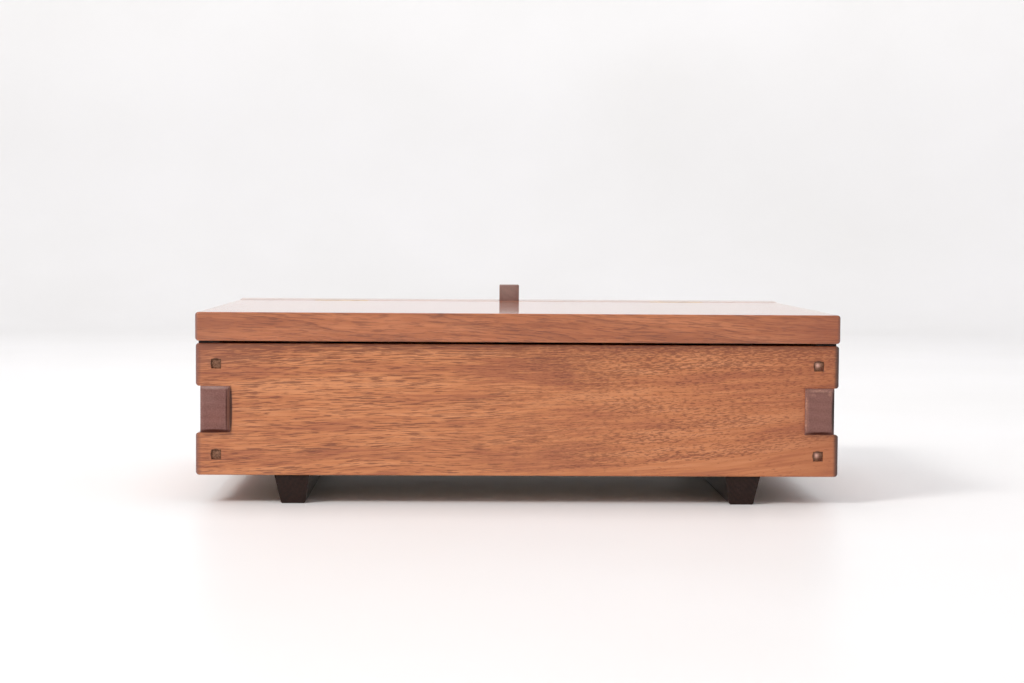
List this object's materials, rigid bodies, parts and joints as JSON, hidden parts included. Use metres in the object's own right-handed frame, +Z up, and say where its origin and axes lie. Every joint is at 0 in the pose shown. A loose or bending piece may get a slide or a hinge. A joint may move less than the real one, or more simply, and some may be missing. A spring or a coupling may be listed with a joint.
{
  "type": "wooden jewellery box",
  "caption": "Low hardwood jewellery box with pinned finger joints, tapered runners, a hinged slab lid that leans on a stop key, and a sliding tray inside.",
  "frame": {"origin": "on the floor, under the middle of the box", "axes": "+X to the right along the front, +Y from the front to the back, +Z up"},
  "size_m": [0.35, 0.24, 0.1147],
  "materials": {
    "walnut": "oiled and rubbed, satin",
    "dark_wood": "oiled, satin",
    "panel": "sealed plywood",
    "brass": "brushed",
    "felt": "wool felt",
    "roll_velvet": "short-pile velvet",
    "leather": "plain side out"
  },
  "bodies": {
    "case": {"front_board": "walnut", "back_board": "walnut", "left_side_board": "walnut", "right_side_board": "walnut", "corner_pegs_front": "walnut", "corner_pegs_back": "walnut", "corner_pegs_left": "walnut", "corner_pegs_right": "walnut", "bottom_panel": "panel", "bottom_lining": "felt", "left_runner": "dark_wood", "right_runner": "dark_wood", "runner_screws": "brass", "lid_stop": "walnut", "lid_bumpers": "leather", "left_hinge_case_leaf": "brass", "right_hinge_case_leaf": "brass", "left_hinge_pin": "brass", "right_hinge_pin": "brass", "left_hinge_case_screws": "brass", "right_hinge_case_screws": "brass", "long_divider": "walnut", "cross_divider_1": "walnut", "cross_divider_2": "walnut", "front_tray_ledge": "walnut", "back_tray_ledge": "walnut"},
    "lid": {"lid_panel": "walnut", "left_lid_batten": "walnut", "right_lid_batten": "walnut", "batten_screws": "brass", "left_hinge_lid_leaf": "brass", "right_hinge_lid_leaf": "brass", "left_hinge_lid_screws": "brass", "right_hinge_lid_screws": "brass"},
    "tray": {"tray_front_wall": "walnut", "tray_back_wall": "walnut", "tray_left_wall": "walnut", "tray_right_wall": "walnut", "tray_base": "panel", "tray_cross_partition": "walnut", "tray_short_partition": "walnut", "tray_left_lining": "felt", "tray_right_lining": "felt", "ring_roll_1": "roll_velvet", "ring_roll_2": "roll_velvet", "ring_roll_3": "roll_velvet", "ring_roll_4": "roll_velvet", "ring_roll_5": "roll_velvet"}
  },
  "joints": [
    {"name": "lid_hinge", "type": "hinge", "parent": "case", "child": "lid", "pos_m": [0, 0.10075, 0.10315], "axis": [-1, 0, 0], "range_deg": [0, 100]},
    {"name": "tray_slide", "type": "slide", "parent": "case", "child": "tray", "axis": [1, 0, 0], "range_m": [0, 0.1615]}
  ]
}
